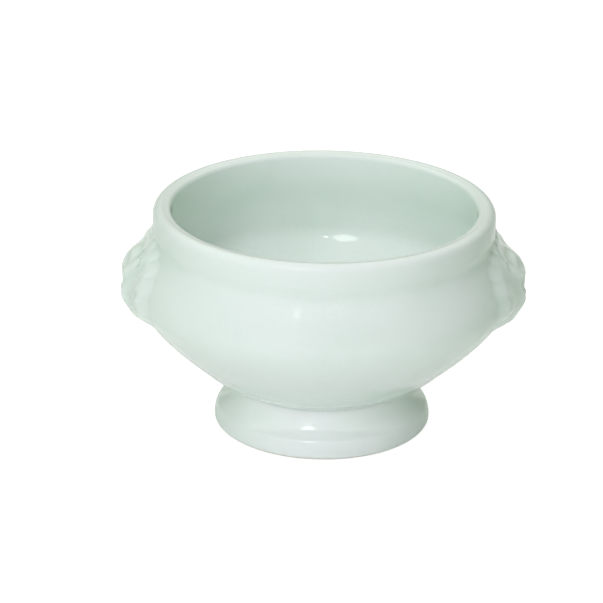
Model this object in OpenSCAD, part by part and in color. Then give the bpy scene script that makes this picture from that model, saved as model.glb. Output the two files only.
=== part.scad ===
// Footed stoneware soup bowl with a lion head on each side, for soup baked under bread and cheese.
// Lengths are millimetres and +Z is up. The origin is the centre of the foot, on the table.
// The lion heads look along +X and -X.

/* [Rim] */
// Height of the whole crock
crock_h = 81; // [76:1:92]
// Outside diameter of the rolled rim
mouth_d = 120; // [112:1:126]
// Thickness of the rolled rim from outside to inside
rim_w = 6.3; // [5.6:0.1:7]
// Height of the rolled rim
rim_h = 7.4; // [6.6:0.1:8.4]
// Rounding of the rim's outer top edge
rim_outer_round = 3; // [2:0.1:3.6]
// Rounding of the rim's inner top edge
rim_inner_round = 1.6; // [1:0.1:2]
// How much lower the rim's inner edge lies than its crown
rim_slope = 0.3; // [0.1:0.1:0.8]

/* [Bowl] */
// How far the rim stands out beyond the neck under it
rim_overhang = 0.4; // [0.3:0.1:1.2]
// Height of the curve from the neck out to the rim
neck_h = 3.5; // [2.6:0.1:4.4]
// Outside diameter of the belly
belly_d = 133.6; // [126:0.2:142]
// Height of the widest part of the belly
belly_z = 52; // [46:1:55]
// Outside diameter where the lower wall turns under
haunch_d = 97; // [90:1:104]
// Height where the lower wall turns under
haunch_z = 27.7; // [25:0.1:30]
// Outside diameter where the underside meets the fillet of the stem
under_d = 79; // [72:1:84]
// Height where the underside meets the fillet of the stem
under_z = 20.4; // [19.4:0.1:22]
// Thickness of the wall
bowl_wall = 5; // [4:0.1:6]
// Thickness of the floor over the foot
floor_t = 5.8; // [5:0.1:7]
// Depth of the hollow turned in the underside, inside the stem
under_hollow = 2.6; // [1:0.1:4]

/* [Foot] */
// Outside diameter of the stem, where the bowl is joined to the foot
stem_d = 63; // [58:1:66]
// Height of the joint between the bowl and the foot
stem_z = 15.6; // [13:0.1:17]
// Outside diameter of the foot
foot_d = 77; // [72:0.2:88]
// Rounding from the flare of the foot down to its upright edge
foot_edge_round = 3.2; // [2.4:0.1:3.8]
// Height of the upright part of the foot's edge
foot_upright_h = 0.4; // [0.2:0.1:1.2]
// Rounding of the foot's outer lower edge
foot_heel_round = 1.8; // [1:0.1:2.2]
// Rounding of the foot's inner lower edge
foot_inner_round = 1; // [0.6:0.1:1.4]
// Thickness of the foot's wall
foot_wall = 4.5; // [3.6:0.1:5.4]

/* [Lion heads] */
// Width of a head over its mane
head_w = 60; // [48:1:63]
// How far a head reaches below the widest part of the belly
head_drop = 12.8; // [11:0.2:16]
// Thickness of the clay at a head's edge
head_edge_t = 0.5; // [0.4:0.1:1]
// How far the locks over the forehead stand out beyond the head's edge
mane_top_h = 1.1; // [0.4:0.1:1.6]
// How far the locks beside the face stand out beyond the head's edge
mane_side_h = 2; // [1.2:0.1:2.6]
// How far the beard stands out beyond the head's edge
beard_h = 5; // [3:0.1:5.6]
// Depth of the grooves between the locks
lock_groove = 0.7; // [0.3:0.1:1.2]
// Number of locks round a head
lock_count = 22; // [16:2:28]
// Depth of the groove between the mane and each side of the face
face_groove = 0.9; // [0.4:0.1:1]
// Width of the face inside the mane
face_w = 29.6; // [26:0.2:33]
// Height of the face inside the mane
face_h = 26.4; // [23:0.2:28]
// How far the face stands out from the bowl
face_t = 3; // [2.2:0.1:3.6]
// How far the muzzle stands out from the face
muzzle_t = 2.2; // [1.4:0.1:2.6]

/* [Hidden] */

// Facets of a full turn, and points along each curve of an outline
turn_facets = 180;
curve_points = 10;
// Gap between a head's back and the bowl, filled by a film of slip
luting_gap = 0.15;
// Gap between the top of a head and the underside of the rim
head_rim_gap = 0.3;

glaze_colour = "#dbe6e1";
foot_colour = "#d6e2dc";
head_colour = "#d1ded7";

// Radii that follow from the diameters
mouth_r = mouth_d / 2;
lip_r = mouth_r - rim_w;
neck_r = mouth_r - rim_overhang;
belly_r = belly_d / 2;
haunch_r = haunch_d / 2;
under_r = under_d / 2;
stem_r = stem_d / 2;
foot_r = foot_d / 2;
inner_r = belly_r - bowl_wall;

// Heights that follow from the others
rim_low_z = crock_h - rim_h;
neck_z = rim_low_z - neck_h;
base_z = stem_z + under_hollow;
floor_z = base_z + floor_t;

// Points from a to b on a curve that leaves a along a_pull and reaches b against b_pull.
// The last point is left out, for the next curve to begin with.
function curve(a, a_pull, b, b_pull) = [
  for (i = [0 : curve_points - 1])
    let (u = i / curve_points, v = 1 - u)
    v * v * v * a + 3 * v * v * u * (a + a_pull)
      + 3 * v * u * u * (b + b_pull) + u * u * u * b
];

// Directions of the outline where its curves meet, as slopes of rise over run
under_slope_share = 0.55;
haunch_slope_share = 0.86;
// Pulls of the curves as shares of the heights or widths that they cross
stem_pull_share = 0.4;
under_pull_share = 0.42;
haunch_pull_shares = [0.4, 0.3];
shoulder_pull_shares = [0.4, 0.16];
neck_pull_share = 0.45;
// Share of a radius that a quarter round pulls, for a curve near a true arc
round_share = 0.55;

// A quarter round from a to b, whose corner is at c
function round_corner(a, c, b) = curve(a, (c - a) * round_share, b, (c - b) * round_share);

// The bowl's outside from the stem up to the rim
bowl_outside = concat(
  curve([stem_r, stem_z], [0, (under_z - stem_z) * stem_pull_share],
    [under_r, under_z], -[1, under_slope_share] * (under_r - stem_r) * stem_pull_share),
  curve([under_r, under_z], [1, under_slope_share] * (haunch_r - under_r) * under_pull_share,
    [haunch_r, haunch_z], -[1, haunch_slope_share] * (haunch_r - under_r) * under_pull_share / 2),
  curve([haunch_r, haunch_z],
    [1, haunch_slope_share] * (belly_r - haunch_r) * haunch_pull_shares[0],
    [belly_r, belly_z], [0, -(belly_z - haunch_z) * haunch_pull_shares[1]]),
  curve([belly_r, belly_z], [0, (neck_z - belly_z) * shoulder_pull_shares[0]],
    [neck_r, neck_z], [0, -(neck_z - belly_z) * shoulder_pull_shares[1]]),
  curve([neck_r, neck_z], [0, neck_h * neck_pull_share],
    [mouth_r, rim_low_z], [0, -neck_h * neck_pull_share])
);

// The crown of the rim, from its outer side over to the lip
crown_out_r = mouth_r - rim_outer_round;
crown_in_r = lip_r + rim_inner_round;
lip_z = crock_h - rim_slope;
bowl_rim = concat(
  round_corner([mouth_r, crock_h - rim_outer_round], [mouth_r, crock_h],
    [crown_out_r, crock_h]),
  curve([crown_out_r, crock_h], [-(crown_out_r - crown_in_r) / 3, 0],
    [crown_in_r, lip_z], [(crown_out_r - crown_in_r) / 3, 0]),
  round_corner([crown_in_r, lip_z], [lip_r, lip_z], [lip_r, lip_z - rim_inner_round])
);

// The inside, from the lip down past the hollow of the belly to the middle of the floor.
// The cove's place is set in from the haunch by the wall, square to the wall there.
cove_norm = norm([1, haunch_slope_share]);
cove_r = haunch_r - bowl_wall * haunch_slope_share / cove_norm;
cove_z = haunch_z + bowl_wall / cove_norm;
neck_in_r = neck_r - bowl_wall;
floor_pull_shares = [0.148, 0.6];
inside_pull_shares = [0.5, 0.36];
cove_pull_shares = [0.3, 0.48];
bowl_inside = concat(
  curve([lip_r, lip_z - rim_inner_round], [0, -(lip_z - neck_z) * neck_pull_share],
    [neck_in_r, neck_z], [0, (lip_z - neck_z) * neck_pull_share / 2]),
  curve([neck_in_r, neck_z], [0, -(neck_z - belly_z) * inside_pull_shares[0] / 2],
    [inner_r, belly_z], [0, (neck_z - belly_z) * inside_pull_shares[1]]),
  curve([inner_r, belly_z], [0, -(belly_z - cove_z) * cove_pull_shares[0]],
    [cove_r, cove_z], [1, haunch_slope_share] * (inner_r - cove_r) * cove_pull_shares[1]),
  curve([cove_r, cove_z], -[1, haunch_slope_share] * cove_r * floor_pull_shares[0],
    [0, floor_z], [cove_r * floor_pull_shares[1], 0])
);

// The underside, inside the stem: a shallow hollow and a flat ring that meets the foot
ring_in_r = stem_r - foot_wall;
hollow_r = ring_in_r - under_hollow;
bowl_underside = concat(
  [[0, floor_z], [0, base_z]],
  round_corner([hollow_r, base_z], [ring_in_r, base_z], [ring_in_r, stem_z]),
  [[ring_in_r, stem_z]]
);

module bowl() {
  color(glaze_colour)
    rotate_extrude($fn = turn_facets)
      polygon(concat(bowl_outside, [[mouth_r, rim_low_z]], bowl_rim, bowl_inside, bowl_underside));
}

// The foot: a flared ring, hollow underneath, that stands on its flat lower edge.
// Its outside runs down from the stem, and its inside is the foot's wall away.
foot_slope_share = 0.92;
foot_pull_shares = [0.17, 0.36];
upright_top_z = foot_heel_round + foot_upright_h;
foot_edge_h = upright_top_z + foot_edge_round;
flare_r = foot_r - foot_edge_round / 2;
flare_z = foot_edge_h + foot_edge_round / 2;
foot_h = stem_z - flare_z;
foot_outside = concat(
  curve([stem_r, stem_z], [0, -foot_h * foot_pull_shares[0]],
    [flare_r, flare_z], [-1, foot_slope_share] * foot_h * foot_pull_shares[1]),
  round_corner([flare_r, flare_z], [foot_r, foot_edge_h], [foot_r, upright_top_z]),
  [[foot_r, upright_top_z]],
  round_corner([foot_r, foot_heel_round], [foot_r, 0], [foot_r - foot_heel_round, 0])
);
foot_in_r = foot_r - foot_wall - foot_inner_round;
foot_inside = concat(
  round_corner([foot_in_r + foot_inner_round, 0], [foot_in_r, 0], [foot_in_r, foot_inner_round]),
  curve([foot_in_r, foot_inner_round], [0, foot_h * foot_pull_shares[1]],
    [ring_in_r, stem_z], [0, -foot_h * foot_pull_shares[1]]),
  [[ring_in_r, stem_z]]
);

module pedestal_foot() {
  color(foot_colour)
    rotate_extrude($fn = turn_facets)
      polygon(concat(foot_outside, [[foot_r - foot_heel_round, 0]], foot_inside));
}

// Lion heads. A head is a pad of clay that is pressed in a mould and stuck on the belly.
// A place on it is [across, up] from its middle, which lies at the belly's widest height.
head_r = head_w / 2;
head_rise = rim_low_z - belly_z - head_rim_gap;
head_angles = 4 * lock_count;
front_rings = 24;
back_rings = 9;

// The bowl's outside as a table of [height, radius], to lay the heads on
wall_table = [for (p = concat(bowl_outside, [[mouth_r, rim_low_z]])) [p[1], p[0]]];
function wall_x(across, z) =
  let (r = lookup(z, wall_table)) sqrt(r * r - across * across);

// Angle from straight up to the direction a, the same to the left and to the right
function turn_from_top(a) = acos(sin(a));

// The locks fall away from the middle line, so that both sides mirror each other.
// This is the angle of the lock that lies at share q of the way out in the direction a.
lock_sweep = 34;
sweep_turn_share = 0.55;
function lock_angle(q, a) =
  lock_count * (turn_from_top(a) + lock_sweep * (q - sweep_turn_share) * abs(cos(a))) / 2;

// Reach of the head's edge in the direction of angle a, with a notch between each two locks.
// The upper half is fuller than an ellipse, which it would be at a fullness of 2.
upper_fullness = 2.4;
edge_notch_share = 0.05;
function head_reach(a) =
  let (up_r = sin(a) > 0 ? head_rise : head_drop,
    fullness = sin(a) > 0 ? upper_fullness : 2,
    even = pow(pow(abs(cos(a)) / head_r, fullness) + pow(abs(sin(a)) / up_r, fullness),
      -1 / fullness))
  even * (1 - edge_notch_share * (1 - abs(sin(lock_angle(1, a)))));

// A smooth step from 0 to 1 while x goes from a to b
function smooth(a, b, x) = let (u = min(1, max(0, (x - a) / (b - a)))) u * u * (3 - 2 * u);

// The mane has two tiers of locks. The inner ones end in round tips, on top of the outer ones.
// Steps are shares of the way out from the middle of the head. The mane falls off to the
// head's edge over a short way above and below, and over a longer way on both sides.
tier_share = 0.3;
tip_shares = [0.79, 0.06];
tip_step_shares = [0.08, 0.04, 0.12];
root_step_shares = [0.58, 0.7];
rim_step_shares = [0.1, 0.14];
beard_turn_shares = [0.1, 0.95];
groove_limit_share = 0.8;
groove_sharpness = 4;
function mane(q, a) =
  let (phase = lock_angle(q, a), outer = abs(sin(phase)), inner = abs(cos(phase)),
    high = smooth(beard_turn_shares[0], beard_turn_shares[1], sin(a)),
    low = smooth(0, -beard_turn_shares[1], sin(a)),
    h = mane_side_h + (mane_top_h - mane_side_h) * high + (beard_h - mane_side_h) * low,
    groove = min(lock_groove, h * groove_limit_share),
    tip = tip_shares[0] + tip_shares[1] * inner,
    past_tip = smooth(tip - tip_step_shares[0], tip + tip_step_shares[1], q),
    edge = smooth(1, 1 - rim_step_shares[0] - rim_step_shares[1] * abs(cos(a)), q),
    root = smooth(root_step_shares[0], root_step_shares[1], q))
  h * ((1 - tier_share) * edge + tier_share * smooth(tip, tip - tip_step_shares[2], q))
    - groove * pow(inner, groove_sharpness) * past_tip * edge
    - groove * pow(outer, groove_sharpness) * root * (1 - past_tip);

// Forms of the face as shares. Each row is across, up, half width and half height, as shares of
// half the face's size, and how far the form stands out as a share of the muzzle's.
// They are the forehead, inner brows, outer brows, eye sockets, eyes, bridge of the nose, tip of
// the nose, cheeks, folds beside the muzzle, muzzle pads, groove under the nose, mouth and chin.
face_form_shares = [
  [0, 0.61, 0.45, 0.33, 0.98],
  [0.24, 0.35, 0.2, 0.12, 0.32],
  [0.53, 0.5, 0.2, 0.14, 0.6],
  [0.39, 0.14, 0.22, 0.14, -0.79],
  [0.39, 0.14, 0.13, 0.09, 0.74],
  [0, 0.11, 0.16, 0.36, 0.51],
  [0, -0.21, 0.21, 0.11, 0.6],
  [0.69, -0.11, 0.22, 0.41, 0.85],
  [0.5, -0.36, 0.1, 0.26, -0.45],
  [0.23, -0.43, 0.22, 0.19, 1],
  [0, -0.49, 0.06, 0.14, -0.45],
  [0.19, -0.68, 0.26, 0.07, -0.6],
  [0, -0.84, 0.23, 0.12, 0.65]
];
// The ears and the hollows in them, which lie among the locks, are given in the same way
ear_form_shares = [
  [0.8, 0.85, 0.22, 0.26, 0.93],
  [0.8, 0.83, 0.12, 0.14, -0.88]
];
function total(values) = values * [for (x = values) 1];
function forms(rows, across, up) =
  let (u = abs(across) / (face_w / 2), v = up / (face_h / 2))
  muzzle_t * total([for (f = rows)
    f[4] * exp(-pow((u - f[0]) / f[2], 2) - pow((v - f[1]) / f[3], 2))]);

// The bowl's surface falls away above and below the belly. The clay of the face fills up
// these shares of it, above and below.
fill_shares = [0.1, 0.41];
function fill(up) =
  (belly_r - lookup(belly_z + up, wall_table)) * (up > 0 ? fill_shares[0] : fill_shares[1]);

// How far the front of the head stands out from the bowl at share q of the way to the edge.
// The groove beside the face lies at a share of the way from the middle to the face's edge.
face_edge_shares = [1.06, 0.86];
face_groove_shares = [1.07, 0.09];
function relief(q, a) =
  let (across = q * head_reach(a) * cos(a), up = q * head_reach(a) * sin(a),
    way = 2 * norm([across / face_w, up / face_h]),
    in_face = smooth(face_edge_shares[0], face_edge_shares[1], way))
  head_edge_t + mane(q, a) * (1 - in_face) + forms(ear_form_shares, across, up)
    - face_groove * pow(cos(a), 2)
      * exp(-pow((way - face_groove_shares[0]) / face_groove_shares[1], 2))
    + in_face * (face_t - head_edge_t + fill(up) + forms(face_form_shares, across, up));

// A point of the head: share q out at angle a, h off the bowl's surface
function head_point(q, a, h) =
  let (across = q * head_reach(a) * cos(a), z = belly_z + q * head_reach(a) * sin(a))
  [wall_x(across, z) + luting_gap + h, across, z];

// The front runs from the middle out to the edge, and the back runs in again
head_points = concat(
  [head_point(0, 0, relief(0, 0))],
  [for (j = [1 : front_rings], i = [0 : head_angles - 1])
    let (q = j / front_rings, a = i * 360 / head_angles) head_point(q, a, relief(q, a))],
  [for (j = [back_rings : -1 : 1], i = [0 : head_angles - 1])
    head_point(j / back_rings, i * 360 / head_angles, 0)],
  [head_point(0, 0, 0)]
);
head_rows = front_rings + back_rings;
function row_point(j, i) = 1 + j * head_angles + i % head_angles;
head_faces = concat(
  [for (i = [0 : head_angles - 1]) [0, row_point(0, i + 1), row_point(0, i)]],
  [for (j = [0 : head_rows - 2], i = [0 : head_angles - 1], half = [0, 1])
    half == 0 ? [row_point(j, i), row_point(j, i + 1), row_point(j + 1, i)]
      : [row_point(j, i + 1), row_point(j + 1, i + 1), row_point(j + 1, i)]],
  [for (i = [0 : head_angles - 1])
    [1 + head_rows * head_angles, row_point(head_rows - 1, i), row_point(head_rows - 1, i + 1)]]
);

module lion_head() {
  color(head_colour)
    polyhedron(points = head_points, faces = head_faces);
}

module lion_head_right() {
  lion_head();
}

module lion_head_left() {
  mirror([1, 0, 0])
    lion_head();
}

bowl();
pedestal_foot();
lion_head_right();
lion_head_left();
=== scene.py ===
# Footed stoneware soup crock with a lion head on each side, under a pale grey green glaze.
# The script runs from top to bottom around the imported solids, in metres.
import math

import bpy
import numpy as np
from mathutils import Matrix, Vector


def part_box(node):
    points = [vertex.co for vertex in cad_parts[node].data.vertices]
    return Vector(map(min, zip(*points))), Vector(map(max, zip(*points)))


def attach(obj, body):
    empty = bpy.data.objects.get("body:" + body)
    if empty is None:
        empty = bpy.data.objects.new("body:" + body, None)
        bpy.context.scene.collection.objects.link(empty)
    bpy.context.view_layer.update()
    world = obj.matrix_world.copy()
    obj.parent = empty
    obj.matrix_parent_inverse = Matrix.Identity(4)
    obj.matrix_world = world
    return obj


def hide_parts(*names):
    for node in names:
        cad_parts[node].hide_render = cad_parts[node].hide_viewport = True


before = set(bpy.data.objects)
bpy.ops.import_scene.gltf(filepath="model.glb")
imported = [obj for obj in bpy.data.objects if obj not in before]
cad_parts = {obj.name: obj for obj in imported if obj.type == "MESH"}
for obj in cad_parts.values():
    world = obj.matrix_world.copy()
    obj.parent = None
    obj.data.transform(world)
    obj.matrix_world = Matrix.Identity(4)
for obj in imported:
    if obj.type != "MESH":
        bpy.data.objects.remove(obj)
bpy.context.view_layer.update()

# The bowl: one piece of white stoneware turned on the wheel, with a rolled rim, a narrow neck,
# a round belly and a conical underside. It is dipped in a grey green glaze, which breaks paler
# over the rim and lies deeper in the hollow of the neck and of the stem.
mm = 0.001
bowl_low, bowl_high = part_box("bowl")
crock_h = bowl_high.z / mm
belly_r = bowl_high.y / mm
stem_z = bowl_low.z / mm
mouth_r, rim_w, rim_h, rim_slope = 60, 6.3, 7.4, 0.3
rim_outer_round, rim_inner_round = 3, 1.6
neck_r, neck_h = 59.6, 3.5
belly_z = 52
haunch_r, haunch_z, haunch_slope = 48.5, 27.7, 0.86
under_r, under_z, under_slope = 39.5, 20.4, 0.55
stem_r, ring_in_r, under_hollow = 31.5, 27, 2.6
bowl_wall, floor_t, inner_drop = 5, 5.8, 0.5

rim_low_z = crock_h - rim_h
neck_z = rim_low_z - neck_h
lip_r = mouth_r - rim_w
lip_z = crock_h - rim_slope
base_z = stem_z + under_hollow
floor_z = base_z + floor_t
curve_steps = 22


def curve(a, a_pull, b, b_pull, steps=curve_steps):
    """Points from a to b that leave along a_pull and arrive against b_pull, without the last."""
    a, b = np.array(a, float), np.array(b, float)
    p, q = a + a_pull, b + b_pull
    u = (np.arange(steps) / steps)[:, None]
    v = 1 - u
    return v ** 3 * a + 3 * v * v * u * p + 3 * v * u * u * q + u ** 3 * b


def quarter(a, corner, b, steps=10):
    """A quarter round from a to b whose corner is given."""
    a, b, corner = (np.array(p, float) for p in (a, b, corner))
    return curve(a, (corner - a) * 0.55, b, (corner - b) * 0.55, steps)


along_under = np.array((1, under_slope))
along_haunch = np.array((1, haunch_slope))
wall_outside = np.concatenate([
    curve((stem_r, stem_z), (0, (under_z - stem_z) * 0.4),
          (under_r, under_z), -along_under * (under_r - stem_r) * 0.4),
    curve((under_r, under_z), along_under * (haunch_r - under_r) * 0.42,
          (haunch_r, haunch_z), -along_haunch * (haunch_r - under_r) * 0.21),
    curve((haunch_r, haunch_z), along_haunch * (belly_r - haunch_r) * 0.4,
          (belly_r, belly_z), (0, -(belly_z - haunch_z) * 0.3)),
    curve((belly_r, belly_z), (0, (neck_z - belly_z) * 0.4),
          (neck_r, neck_z), (0, -(neck_z - belly_z) * 0.16)),
    curve((neck_r, neck_z), (0, neck_h * 0.45),
          (mouth_r, rim_low_z), (0, -neck_h * 0.45), 12),
    [(mouth_r, rim_low_z)],
])
crown_out_r = mouth_r - rim_outer_round
crown_in_r = lip_r + rim_inner_round
crown_pull = ((crown_out_r - crown_in_r) / 3, 0)
rim = np.concatenate([
    quarter((mouth_r, crock_h - rim_outer_round), (mouth_r, crock_h), (crown_out_r, crock_h)),
    curve((crown_out_r, crock_h), -np.array(crown_pull), (crown_in_r, lip_z), crown_pull, 8),
    quarter((crown_in_r, lip_z), (lip_r, lip_z), (lip_r, lip_z - rim_inner_round)),
])
cove_norm = math.hypot(1, haunch_slope)
cove_r = haunch_r - bowl_wall * haunch_slope / cove_norm
cove_z = haunch_z + bowl_wall / cove_norm
inner_r, inner_z = belly_r - bowl_wall, belly_z - inner_drop
inside = np.concatenate([
    curve((lip_r, lip_z - rim_inner_round), (0, -(lip_z - inner_z) * 0.45),
          (inner_r, inner_z), (0, (lip_z - inner_z) * 0.42), 40),
    curve((inner_r, inner_z), (0, -(inner_z - cove_z) * 0.3),
          (cove_r, cove_z), along_haunch * (inner_r - cove_r) * 0.48),
    curve((cove_r, cove_z), -along_haunch * cove_r * 0.148,
          (0, floor_z), (cove_r * 0.6, 0)),
    [(0, floor_z)],
])
hollow_r = ring_in_r - under_hollow
underside = np.concatenate([
    [(0, base_z)],
    quarter((hollow_r, base_z), (ring_in_r, base_z), (ring_in_r, stem_z)),
    [(ring_in_r, stem_z)],
])


def glaze_depth(outline, reach=4.0, full=2.2):
    """How deep the glaze pools at each point: 1 in a hollow of the outline, -1 over an edge."""
    step = np.hypot(*np.diff(outline, axis=0).T)
    run = np.concatenate([[0], np.cumsum(step)])
    near = [np.interp(run + s, run, outline[:, k]) for k in (0, 1) for s in (-reach, reach)]
    middle = np.stack([near[0] + near[1], near[2] + near[3]], 1) / 2 - outline
    along = np.gradient(outline, axis=0)
    outward = np.stack([along[:, 1], -along[:, 0]], 1)
    outward /= np.maximum(np.linalg.norm(outward, axis=1), 1e-9)[:, None]
    return np.clip((middle * outward).sum(1) / full, -1, 1)


def add(tree, kind, settings=(), **sockets):
    """Adds a node. A socket is named with _ for a space, or by its place, as in i1."""
    node = tree.nodes.new(kind)
    for name, value in dict(settings).items():
        setattr(node, name, value)
    for name, value in sockets.items():
        place = int(name[1:]) if name[1:].isdigit() else name.replace("_", " ")
        if isinstance(value, bpy.types.NodeSocket):
            tree.links.new(value, node.inputs[place])
        else:
            node.inputs[place].default_value = value
    return node


# The wheel turns an outline, a chain of points in the XZ plane, once round the Z axis
wheel = bpy.data.node_groups.new("wheel", "GeometryNodeTree")
for name, kind, way in (("Outline", "NodeSocketGeometry", "INPUT"),
                        ("Turn steps", "NodeSocketInt", "INPUT"),
                        ("Sharp angle", "NodeSocketFloat", "INPUT"),
                        ("Finish", "NodeSocketMaterial", "INPUT"),
                        ("Ware", "NodeSocketGeometry", "OUTPUT")):
    wheel.interface.new_socket(name, in_out=way, socket_type=kind)
given = add(wheel, "NodeGroupInput").outputs
count = add(wheel, "GeometryNodeAttributeDomainSize", Geometry=given["Outline"]).outputs[0]
seam = add(wheel, "ShaderNodeMath", {"operation": "ADD"}, i0=given["Turn steps"], i1=1.0)
sheet = add(wheel, "GeometryNodeMeshGrid", Vertices_X=seam.outputs[0], Vertices_Y=count)
index = add(wheel, "GeometryNodeInputIndex").outputs[0]
turn = add(wheel, "ShaderNodeMath", {"operation": "DIVIDE"}, i0=index, i1=count)
turn = add(wheel, "ShaderNodeMath", {"operation": "FLOOR"}, i0=turn.outputs[0])
share = add(wheel, "ShaderNodeMath", {"operation": "DIVIDE"},
            i0=turn.outputs[0], i1=given["Turn steps"])
angle = add(wheel, "ShaderNodeMath", {"operation": "MULTIPLY"},
            i0=share.outputs[0], i1=math.tau)
place = add(wheel, "ShaderNodeMath", {"operation": "MODULO"}, i0=index, i1=count)
where = add(wheel, "GeometryNodeInputPosition").outputs[0]
point = add(wheel, "GeometryNodeSampleIndex", {"data_type": "FLOAT_VECTOR"},
            Geometry=given["Outline"], Value=where, Index=place.outputs[0])
pool = add(wheel, "GeometryNodeInputNamedAttribute", {"data_type": "FLOAT"}, Name="pool")
depth = add(wheel, "GeometryNodeSampleIndex", {"data_type": "FLOAT"},
            Geometry=given["Outline"], Value=pool.outputs[0], Index=place.outputs[0])
round_z = add(wheel, "ShaderNodeVectorRotate", {"rotation_type": "Z_AXIS"},
              Vector=point.outputs[0], Angle=angle.outputs[0])
ware = add(wheel, "GeometryNodeStoreNamedAttribute", {"data_type": "FLOAT", "domain": "POINT"},
           Geometry=sheet.outputs[0], Name="pool", Value=depth.outputs[0])
ware = add(wheel, "GeometryNodeSetPosition", Geometry=ware.outputs[0],
           Position=round_z.outputs[0])
ware = add(wheel, "GeometryNodeMergeByDistance", Geometry=ware.outputs[0], Distance=2e-6)
bend = add(wheel, "GeometryNodeInputMeshEdgeAngle").outputs["Unsigned Angle"]
sharp = add(wheel, "FunctionNodeCompare", {"data_type": "FLOAT", "operation": "GREATER_THAN"},
            i0=bend, i1=given["Sharp angle"])
ware = add(wheel, "GeometryNodeSetShadeSmooth", {"domain": "FACE"},
           Geometry=ware.outputs[0], Shade_Smooth=True)
ware = add(wheel, "GeometryNodeSetShadeSmooth", {"domain": "EDGE"}, Geometry=ware.outputs[0],
           Selection=sharp.outputs[0], Shade_Smooth=False)
ware = add(wheel, "GeometryNodeRealizeInstances", Geometry=ware.outputs[0])
ware = add(wheel, "GeometryNodeSetMaterial", Geometry=ware.outputs[0],
           Material=given["Finish"])
add(wheel, "NodeGroupOutput", Ware=ware.outputs[0])


def turned(name, outline, finish, turn_steps=288, sharp_angle=math.radians(35)):
    """A piece turned from an outline in millimetres of radius and height."""
    mesh = bpy.data.meshes.new(name + "_outline")
    links = [(i, i + 1) for i in range(len(outline) - 1)]
    mesh.from_pydata([(r * mm, 0, z * mm) for r, z in outline], links, [])
    mesh.attributes.new("pool", "FLOAT", "POINT").data.foreach_set("value", glaze_depth(outline))
    piece = bpy.data.objects.new(name, mesh)
    bpy.context.scene.collection.objects.link(piece)
    turning = piece.modifiers.new("turned on the wheel", "NODES")
    turning.node_group = wheel
    sizes = {"Turn steps": turn_steps, "Sharp angle": sharp_angle, "Finish": finish}
    for item in wheel.interface.items_tree:
        if item.name in sizes:
            turning[item.identifier] = sizes[item.name]
    shape = piece.evaluated_get(bpy.context.evaluated_depsgraph_get())
    fired = bpy.data.meshes.new_from_object(shape)
    piece.modifiers.remove(turning)
    piece.data = fired
    return piece


def linear(hex_colour):
    """An sRGB hex colour as linear RGBA."""
    parts = [int(hex_colour[k:k + 2], 16) / 255 for k in (1, 3, 5)]
    return [c / 12.92 if c < 0.04045 else ((c + 0.055) / 1.055) ** 2.4 for c in parts] + [1]


# Sizes of the glaze's patterns in millimetres, and what each adds to its depth of colour
cloud_w, mottle_w, wave_w, ring_gap = 35, 1.2, 14, 2.6
cloud_share, mottle_share, pool_share, even_depth = 0.5, 0.16, 0.14, 0.42
smoothest, cloud_dullness = 0.016, 0.012
wave_h, ring_h = 0.045, 0.004


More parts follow.
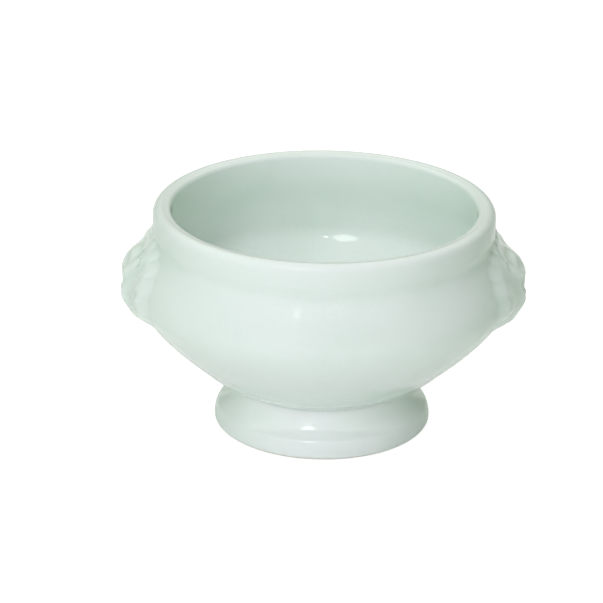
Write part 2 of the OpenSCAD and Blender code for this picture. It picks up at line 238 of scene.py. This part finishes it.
def stoneware_glaze(name, pale, body, deep, bare_below=-1.0):
    """Stoneware dipped in a grey green celadon glaze and fired glossy.
    It breaks pale over edges, pools green in hollows, and is a little wavy, as a dipped glaze is.
    Below the height bare_below, in millimetres, the glaze is wiped off the pale clay."""
    finish = bpy.data.materials.new(name)
    finish.use_nodes = True
    tree = finish.node_tree
    tree.nodes.clear()
    at = add(tree, "ShaderNodeTexCoord").outputs["Object"]
    # Clouds of thicker glaze, and a fine mottle where bubbles were held in it
    clouds = add(tree, "ShaderNodeTexNoise", Vector=at, Scale=1 / (cloud_w * mm), Detail=2.0)
    mottle = add(tree, "ShaderNodeTexNoise", Vector=at, Scale=1 / (mottle_w * mm), Detail=3.0)
    pool = add(tree, "ShaderNodeAttribute", {"attribute_name": "pool"}).outputs["Fac"]
    depth = add(tree, "ShaderNodeMath", {"operation": "MULTIPLY_ADD"},
                i0=clouds.outputs[0], i1=cloud_share, i2=-cloud_share / 2)
    depth = add(tree, "ShaderNodeMath", {"operation": "MULTIPLY_ADD"},
                i0=mottle.outputs[0], i1=mottle_share, i2=depth.outputs[0])
    depth = add(tree, "ShaderNodeMath", {"operation": "MULTIPLY_ADD"},
                i0=pool, i1=pool_share, i2=depth.outputs[0])
    depth = add(tree, "ShaderNodeMath", {"operation": "ADD", "use_clamp": True},
                i0=depth.outputs[0], i1=even_depth)
    ramp = add(tree, "ShaderNodeValToRGB", Fac=depth.outputs[0])
    ramp.color_ramp.elements[0].color = linear(pale)
    ramp.color_ramp.elements[1].color = linear(deep)
    ramp.color_ramp.elements.new(0.5).color = linear(body)
    colour = ramp.outputs["Color"]
    # Gloss: smooth as glass, with slightly duller clouds
    gloss = add(tree, "ShaderNodeMath", {"operation": "MULTIPLY_ADD"},
                i0=clouds.outputs[0], i1=cloud_dullness, i2=smoothest)
    # Relief: slow waves of the glaze, and faint throwing rings
    waves = add(tree, "ShaderNodeTexNoise", Vector=at, Scale=1 / (wave_w * mm), Detail=1.0)
    rings = add(tree, "ShaderNodeTexWave", {"bands_direction": "Z", "wave_profile": "SIN"},
                Vector=at, Scale=1 / (ring_gap * mm) / math.tau * 2, Distortion=1.2, Detail=1.0,
                Detail_Scale=0.02)
    waved = add(tree, "ShaderNodeBump", Height=waves.outputs[0], Strength=1.0,
                Distance=wave_h * mm)
    ringed = add(tree, "ShaderNodeBump", Height=rings.outputs[0], Strength=1.0,
                 Distance=ring_h * mm, Normal=waved.outputs[0])
    glaze = add(tree, "ShaderNodeBsdfPrincipled", Base_Color=colour, Roughness=gloss.outputs[0],
                Normal=ringed.outputs[0], IOR=1.5, Subsurface_Weight=0.12,
                Subsurface_Radius=(1.0, 1.2, 1.0), Subsurface_Scale=1.0 * mm)
    surface = glaze.outputs[0]
    if bare_below > 0:
        # The foot ring is wiped clean before firing: matt off-white clay with a fine grain
        height = add(tree, "ShaderNodeSeparateXYZ", Vector=at).outputs["Z"]
        wipe = add(tree, "ShaderNodeTexNoise", Vector=at, Scale=1 / (6 * mm), Detail=2.0)
        edge = add(tree, "ShaderNodeMath", {"operation": "MULTIPLY_ADD"},
                   i0=wipe.outputs[0], i1=-0.5 * mm, i2=height)
        wiped = add(tree, "ShaderNodeMapRange", {"interpolation_type": "SMOOTHSTEP"},
                    Value=edge.outputs[0], From_Min=(bare_below + 0.1) * mm,
                    From_Max=(bare_below - 0.15) * mm)
        grain = add(tree, "ShaderNodeTexNoise", Vector=at, Scale=1 / (0.4 * mm), Detail=4.0)
        clay = add(tree, "ShaderNodeValToRGB", Fac=grain.outputs[0])
        clay.color_ramp.elements[0].color = linear("#cfc8b8")
        clay.color_ramp.elements[1].color = linear("#ece8dc")
        grit = add(tree, "ShaderNodeBump", Height=grain.outputs[0], Strength=1.0,
                   Distance=0.05 * mm)
        body_clay = add(tree, "ShaderNodeBsdfPrincipled", Base_Color=clay.outputs["Color"],
                        Roughness=0.8, Normal=grit.outputs[0])
        both = add(tree, "ShaderNodeMixShader", Fac=wiped.outputs[0],
                   i1=surface, i2=body_clay.outputs[0])
        surface = both.outputs[0]
    add(tree, "ShaderNodeOutputMaterial", Surface=surface)
    return finish


bowl_finish = stoneware_glaze("celadon_glaze_dipped", "#edf4f0", "#e8f1ec", "#cfe3d3")
bowl = turned("bowl_glazed", np.concatenate([underside, wall_outside, rim, inside]), bowl_finish)
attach(bowl, "root")
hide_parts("bowl")

# The foot: a flared stoneware ring, hollow underneath, luted on under the bowl before glazing.
# Its edge is rounded with a sponge, and the ring that stands on the table is wiped clean.
foot_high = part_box("pedestal_foot")[1]
foot_r = foot_high.x / mm
foot_wall, foot_slope = 4.5, 0.92
foot_edge_round, foot_upright_h, foot_heel_round, foot_inner_round = 3.2, 0.4, 1.8, 1
luting_h = 0.5

upright_top_z = foot_heel_round + foot_upright_h
foot_edge_h = upright_top_z + foot_edge_round
flare_r = foot_r - foot_edge_round / 2
flare_z = foot_edge_h + foot_edge_round / 2
foot_h = stem_z - flare_z
foot_in_r = foot_r - foot_wall - foot_inner_round
foot_outline = np.concatenate([
    [(ring_in_r, stem_z + luting_h), (stem_r, stem_z + luting_h)],
    curve((stem_r, stem_z), (0, -foot_h * 0.17),
          (flare_r, flare_z), np.array((-1, foot_slope)) * foot_h * 0.36, 30),
    quarter((flare_r, flare_z), (foot_r, foot_edge_h), (foot_r, upright_top_z), 18),
    [(foot_r, upright_top_z)],
    quarter((foot_r, foot_heel_round), (foot_r, 0), (foot_r - foot_heel_round, 0)),
    [(foot_r - foot_heel_round, 0)],
    quarter((foot_in_r + foot_inner_round, 0), (foot_in_r, 0), (foot_in_r, foot_inner_round)),
    curve((foot_in_r, foot_inner_round), (0, foot_h * 0.36),
          (ring_in_r, stem_z), (0, -foot_h * 0.36), 16),
    [(ring_in_r, stem_z), (ring_in_r, stem_z + luting_h)],
])[::-1]
# Painted light: the foot's glaze colours are paler than the bowl's, though the real foot has the
# same glaze. The paler colours paint in light that the lamps don't give the foot, which sits in
# the bowl's shade.
foot_finish_painted_paler = stoneware_glaze("celadon_glaze_wiped_foot_painted_paler", "#f8fbfa", "#f6faf8", "#ebf4ef", 0.6)
foot = turned("foot_glazed", foot_outline, foot_finish_painted_paler)
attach(foot, "root")
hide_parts("pedestal_foot")

# The lion heads: pads of clay pressed in a mould, luted on the belly and softened with a wet
# brush, so that their edges run into the bowl. The glaze fills the grooves of mane and face.
head_r, head_drop, head_rim_gap = 30, 12.8, 0.3
head_edge_t, luting_gap = 0.5, 0.15
mane_top_h, mane_side_h, beard_h = 1.1, 2, 5
lock_groove, face_groove, lock_count, lock_sweep = 0.28, 0.3, 22, math.radians(34)
face_half_w, face_half_h, face_t, muzzle_t = 14.8, 13.2, 3, 2.2
head_rise = rim_low_z - belly_z - head_rim_gap
head_sink = 0.6
edge_tuck, film_start = 0.02, 0.8
front_rings, back_rings, head_angles = 140, 16, 24 * lock_count

# Shares of the way out from the middle of a head at which its locks and its face begin and end
tip, tip_round, tip_step, tier_share, tier_step = 0.79, 0.06, (0.08, 0.04), 0.2, (0.04, 0.18)
root_step, rim_step, top_groove_loss, groove_sharpness = (0.58, 0.7), (0.1, 0.14), 0.8, 3
face_step, face_step_sides, face_groove_at, face_groove_w = (1.06, 0.86), (0.22, 0.12), 1.2, 0.25
face_fill_up, face_fill_down = 0.1, 0.41
fullness, notch = 2.4, 0.05
pool_reach, pool_full = 1.4, 0.35

# Across, up, half width, half height and height of each form, as shares
face_forms = (
    ("forehead", 0, 0.61, 0.45, 0.33, 0.98),
    ("inner brows", 0.24, 0.35, 0.2, 0.12, 0.32),
    ("outer brows", 0.53, 0.5, 0.2, 0.14, 0.6),
    ("eye sockets", 0.39, 0.14, 0.22, 0.14, -0.79),
    ("eyes", 0.39, 0.14, 0.13, 0.09, 0.74),
    ("bridge of the nose", 0, 0.11, 0.16, 0.36, 0.51),
    ("tip of the nose", 0, -0.21, 0.21, 0.11, 0.6),
    ("cheeks", 0.69, -0.11, 0.22, 0.41, 0.85),
    ("folds", 0.5, -0.36, 0.1, 0.26, -0.45),
    ("muzzle", 0.23, -0.43, 0.22, 0.19, 1),
    ("groove under the nose", 0, -0.49, 0.06, 0.14, -0.45),
    ("mouth", 0.19, -0.68, 0.26, 0.07, -0.6),
    ("chin", 0, -0.84, 0.23, 0.12, 0.65),
)
ear_forms = (
    ("ears", 0.8, 0.85, 0.22, 0.26, 0.93),
    ("hollows of the ears", 0.8, 0.83, 0.12, 0.14, -0.88),
)


def smooth(a, b, x):
    """A smooth step from 0 to 1 while x goes from a to b."""
    u = np.clip((x - a) / (b - a), 0, 1)
    return u * u * (3 - 2 * u)


def wall_r(z):
    """Radius of the bowl's outside at a height."""
    return np.interp(z, wall_outside[:, 1], wall_outside[:, 0])


def lock_angle(q, a):
    """Phase of the locks at share q of the way out, which mirror each other left and right."""
    from_top = np.arccos(np.clip(np.sin(a), -1, 1))
    return lock_count / 2 * (from_top + lock_sweep * (q - 0.55) * np.abs(np.cos(a)))


def head_reach(a):
    """Reach of the head's edge in a direction, with a notch between each two locks."""
    up_r = np.where(np.sin(a) > 0, head_rise, head_drop)
    even = (np.abs(np.cos(a) / head_r) ** fullness
            + np.abs(np.sin(a) / up_r) ** fullness) ** (-1 / fullness)
    return even * (1 - notch * (1 - np.abs(np.sin(lock_angle(1, a)))))


def mane(q, a):
    """Two tiers of locks: the inner ones end in round tips on top of the outer ones."""
    phase = lock_angle(q, a)
    outer, inner = np.abs(np.sin(phase)), np.abs(np.cos(phase))
    top = smooth(0.1, 0.95, np.sin(a))
    h = (mane_side_h + (mane_top_h - mane_side_h) * top
         + (beard_h - mane_side_h) * smooth(0, -0.95, np.sin(a)))
    groove = lock_groove * (1 - top_groove_loss * top)
    end = tip + tip_round * inner
    past_end = smooth(end - tip_step[0], end + tip_step[1], q)
    edge = smooth(1, 1 - rim_step[0] - rim_step[1] * np.abs(np.cos(a)), q)
    tier = smooth(end + tier_step[0], end - tier_step[1], q)
    return (h * ((1 - tier_share) * edge + tier_share * tier)
            - groove * inner ** groove_sharpness * past_end * edge
            - groove * outer ** groove_sharpness * smooth(*root_step, q) * (1 - past_end))


def forms(rows, across, up):
    """Height of rounded forms at a place, the same to the left and to the right."""
    u, v = np.abs(across) / face_half_w, up / face_half_h
    return muzzle_t * sum(h * np.exp(-((u - x) / w) ** 2 - ((v - y) / t) ** 2)
                          for _, x, y, w, t, h in rows)


def relief(across, up):
    """How far the front of the head stands out from the bowl at a place on it."""
    a = np.arctan2(up, across)
    q = np.hypot(across, up) / head_reach(a)
    way = np.hypot(across / face_half_w, up / face_half_h)
    sideways = np.cos(a) ** 2
    in_face = smooth(face_step[0] + face_step_sides[0] * sideways,
                     face_step[1] - face_step_sides[1] * sideways, way)
    beside = face_groove * sideways * np.exp(-((way - face_groove_at) / face_groove_w) ** 2)
    fill = (belly_r - wall_r(belly_z + up)) * np.where(up > 0, face_fill_up, face_fill_down)
    edge = (luting_gap + head_edge_t) * smooth(1.0, film_start, q)
    return (edge + mane(np.minimum(q, 1), a) * (1 - in_face) + forms(ear_forms, across, up)
            - beside + in_face * (face_t - head_edge_t + fill + forms(face_forms, across, up)))


def lion_head(name, side, finish):
    """A head on the side 1 or -1: the front from its middle to its edge, and the back again."""
    a = np.linspace(0, math.tau, head_angles, endpoint=False)[None]
    q = np.linspace(0, 1, front_rings + 1)[1:, None]
    across, up = q * head_reach(a) * np.cos(a), q * head_reach(a) * np.sin(a)
    h = relief(across, up)
    ring = [(pool_reach * math.cos(t), pool_reach * math.sin(t))
            for t in np.arange(8) * math.tau / 8]
    pooled = sum(relief(across + x, up + y) for x, y in ring) / 8 - h
    back = np.linspace(1, 0, back_rings, endpoint=False)[1:, None]
    across_back = back * head_reach(a) * np.cos(a)
    up_back = back * head_reach(a) * np.sin(a)
    across = np.concatenate([across, across_back])
    up = np.concatenate([up, up_back])
    h = np.concatenate([h, np.full(across_back.shape, -head_sink)])
    h[front_rings - 1] = -edge_tuck
    x = np.sqrt(wall_r(belly_z + up) ** 2 - across ** 2) + h
    rows = np.stack([side * x, across, belly_z + up], -1).reshape(-1, 3)
    middle = [(side * (belly_r + relief(1e-6, 1e-6)), 0, belly_z)]
    behind = [(side * (belly_r - head_sink), 0, belly_z)]
    points = np.concatenate([middle, rows, behind]) * mm
    count, last = front_rings + back_rings - 1, len(points) - 1
    i = np.arange(head_angles)
    j = (i + 1) % head_angles
    quads = [np.stack([1 + k * head_angles + i, 1 + (k + 1) * head_angles + i,
                       1 + (k + 1) * head_angles + j, 1 + k * head_angles + j], 1)
             for k in range(count - 1)]
    faces = np.concatenate(quads).tolist()
    faces += [(0, 1 + n, 1 + m) for n, m in zip(i, j)]
    end = 1 + (count - 1) * head_angles
    faces += [(last, end + m, end + n) for n, m in zip(i, j)]
    if side < 0:
        faces = [tuple(reversed(f)) for f in faces]
    mesh = bpy.data.meshes.new(name)
    mesh.from_pydata(points.tolist(), [], faces)
    depth = np.zeros(len(points))
    depth[1:1 + pooled.size] = np.clip(pooled / pool_full, -1, 1).ravel()
    depth[0] = depth[1:1 + head_angles].mean()
    mesh.attributes.new("pool", "FLOAT", "POINT").data.foreach_set("value", depth)
    mesh.polygons.foreach_set("use_smooth", [True] * len(mesh.polygons))
    mesh.materials.append(finish)
    head = bpy.data.objects.new(name, mesh)
    bpy.context.scene.collection.objects.link(head)
    return head


head_finish = stoneware_glaze("celadon_glaze_over_relief", "#eef4f0", "#e8f1ec", "#cce1d1")
for side, word in ((1, "right"), (-1, "left")):
    head = lion_head("lion_mask_" + word, side, head_finish)
    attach(head, "root")
    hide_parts("lion_head_" + word)

# The floor: a wide white sweep that keeps the crock's soft shadow. Seen directly, or in a
# reflection, most of it is plain white.
floor_mesh = bpy.data.meshes.new("floor")
floor_half = 6.0
floor_mesh.from_pydata([(-floor_half, -floor_half, 0), (floor_half, -floor_half, 0),
                        (floor_half, floor_half, 0), (-floor_half, floor_half, 0)],
                       [], [(0, 1, 2, 3)])
floor = bpy.data.objects.new("floor", floor_mesh)
bpy.context.scene.collection.objects.link(floor)
paper = bpy.data.materials.new("white_paper_sweep")
paper.use_nodes = True
sweep = paper.node_tree
sweep.nodes.clear()
path = add(sweep, "ShaderNodeLightPath").outputs
seen = add(sweep, "ShaderNodeMath", {"operation": "MAXIMUM"},
           i0=path["Is Camera Ray"], i1=path["Is Glossy Ray"])
seen = add(sweep, "ShaderNodeMath", {"operation": "MAXIMUM"},
           i0=seen.outputs[0], i1=path["Is Transmission Ray"])
part_white = add(sweep, "ShaderNodeMath", {"operation": "MULTIPLY"},
                 i0=seen.outputs[0], i1=0.72)
matt = add(sweep, "ShaderNodeBsdfDiffuse", Color=(0.95, 0.97, 0.95, 1))
dimmer = add(sweep, "ShaderNodeMath", {"operation": "MULTIPLY_ADD"},
             i0=path["Is Glossy Ray"], i1=-0.45, i2=1.25)
white = add(sweep, "ShaderNodeEmission", Color=(1, 1, 1, 1), Strength=dimmer.outputs[0])
mixed = add(sweep, "ShaderNodeMixShader", Fac=part_white.outputs[0],
            i1=matt.outputs[0], i2=white.outputs[0])
add(sweep, "ShaderNodeOutputMaterial", Surface=mixed.outputs[0])
floor_mesh.materials.append(paper)

# The room: a faint even glow, and plain white where it is seen directly
room = bpy.data.worlds.new("white_room")
bpy.context.scene.world = room
room.use_nodes = True
walls = room.node_tree
walls.nodes.clear()
path = add(walls, "ShaderNodeLightPath").outputs
seen = add(walls, "ShaderNodeMath", {"operation": "MAXIMUM"},
           i0=path["Is Camera Ray"], i1=path["Is Glossy Ray"])
seen = add(walls, "ShaderNodeMath", {"operation": "MAXIMUM"},
           i0=seen.outputs[0], i1=path["Is Transmission Ray"])
glow = add(walls, "ShaderNodeBackground", Color=(0.96, 1.0, 0.96, 1), Strength=0.03)
# Mirrored in the glaze, the room is dim behind the crock and bright under its ceiling
way = add(walls, "ShaderNodeTexCoord").outputs["Generated"]
way = add(walls, "ShaderNodeSeparateXYZ", Vector=way).outputs
behind = add(walls, "ShaderNodeMapRange", Value=way["Y"], From_Min=0.0, From_Max=0.9,
             To_Min=1.0, To_Max=0.3)
ceiling = add(walls, "ShaderNodeMapRange", Value=way["Z"], From_Min=0.45, From_Max=0.75,
              To_Min=0.0, To_Max=1.1)
mirror = add(walls, "ShaderNodeMath", {"operation": "ADD"},
             i0=ceiling.outputs[0], i1=behind.outputs[0])
mirror = add(walls, "ShaderNodeMath", {"operation": "MULTIPLY"},
             i0=mirror.outputs[0], i1=path["Is Glossy Ray"])
mirror = add(walls, "ShaderNodeMath", {"operation": "ADD"},
             i0=mirror.outputs[0], i1=path["Is Camera Ray"])
mirror = add(walls, "ShaderNodeMath", {"operation": "ADD"},
             i0=mirror.outputs[0], i1=path["Is Transmission Ray"])
white = add(walls, "ShaderNodeBackground", Color=(1, 1, 1, 1), Strength=mirror.outputs[0])
mixed = add(walls, "ShaderNodeMixShader", Fac=seen.outputs[0],
            i1=glow.outputs[0], i2=white.outputs[0])
add(walls, "ShaderNodeOutputWorld", Surface=mixed.outputs[0])


# The lamps: soft panels light the crock, the main one from a little left of the camera. The
# small round dishes light nothing, and are only mirrored in the glaze.
def softbox(name, azimuth, elevation, distance, width, height, radiance, mirrored=False):
    """A lamp that faces the crock: a round one, which only the glaze mirrors, or a panel,
    which it doesn't. Azimuth 0 is the camera's side and 90 is +X. Radiance is for each colour."""
    lamp = bpy.data.lights.new(name, "AREA")
    lamp.shape = "ELLIPSE" if mirrored else "RECTANGLE"
    lamp.size, lamp.size_y = width, height
    area = width * height * (math.pi / 4 if mirrored else 1)
    lamp.energy = max(radiance) * math.pi * area
    lamp.color = [part / max(radiance) for part in radiance]
    a, e = math.radians(azimuth), math.radians(elevation)
    away = Vector((math.sin(a) * math.cos(e), -math.cos(a) * math.cos(e), math.sin(e)))
    box = bpy.data.objects.new(name, lamp)
    box.location = Vector((0, 0, 0.045)) + away * distance
    box.rotation_euler = away.to_track_quat("Z", "Y").to_euler()
    box.visible_glossy = mirrored
    box.visible_diffuse = not mirrored
    bpy.context.scene.collection.objects.link(box)
    return box


softbox("key_dish", -17.5, 46, 1.2, 0.32, 0.32, (5, 5, 5), True)
softbox("glint_dish", -17.5, 37.5, 1.2, 0.12, 0.12, (2.8, 2.8, 2.8), True)
softbox("spot_dish", -1, 46, 1.2, 0.06, 0.06, (12, 12, 12), True)
softbox("top_panel", -30, 76, 1.2, 0.6, 0.6, (3.0, 2.85, 3.0))
softbox("high_panel", -17.5, 47, 1.2, 0.5, 0.5, (2.0, 2.0, 2.1))
softbox("main_panel", -13, 22, 1.3, 0.7, 0.85, (4.15, 4.2, 4.4))
softbox("left_panel", -100, 20, 1.3, 0.7, 0.55, (0.1, 0.8, 0.1))
softbox("right_panel", 90, 6, 1.3, 0.7, 0.55, (0.1, 0.8, 0.1))
softbox("back_panel", 180, 50, 1.3, 1.4, 1.0, (2.4, 2.5, 2.2))

# The camera: 1 m away, looking down by 22.5 degrees at a point on the crock's axis
look = bpy.data.cameras.new("photo_camera")
look.sensor_width = 36
look.lens = 167.99
look.shift_x, look.shift_y = -0.0357, 0.0272
look.clip_start, look.clip_end = 0.05, 20
camera = bpy.data.objects.new("photo_camera", look)
elevation = math.radians(22.495)
toward = Vector((0, -math.cos(elevation), math.sin(elevation)))
frame_turn = Matrix.Rotation(math.radians(0.785), 4, "Z")
stand = Matrix.Translation(Vector((0, 0, 0.038)) + toward)
camera.matrix_world = stand @ toward.to_track_quat("Z", "Y").to_matrix().to_4x4() @ frame_turn
bpy.context.scene.collection.objects.link(camera)
bpy.context.scene.camera = camera
bpy.context.scene.view_settings.view_transform = "Standard"
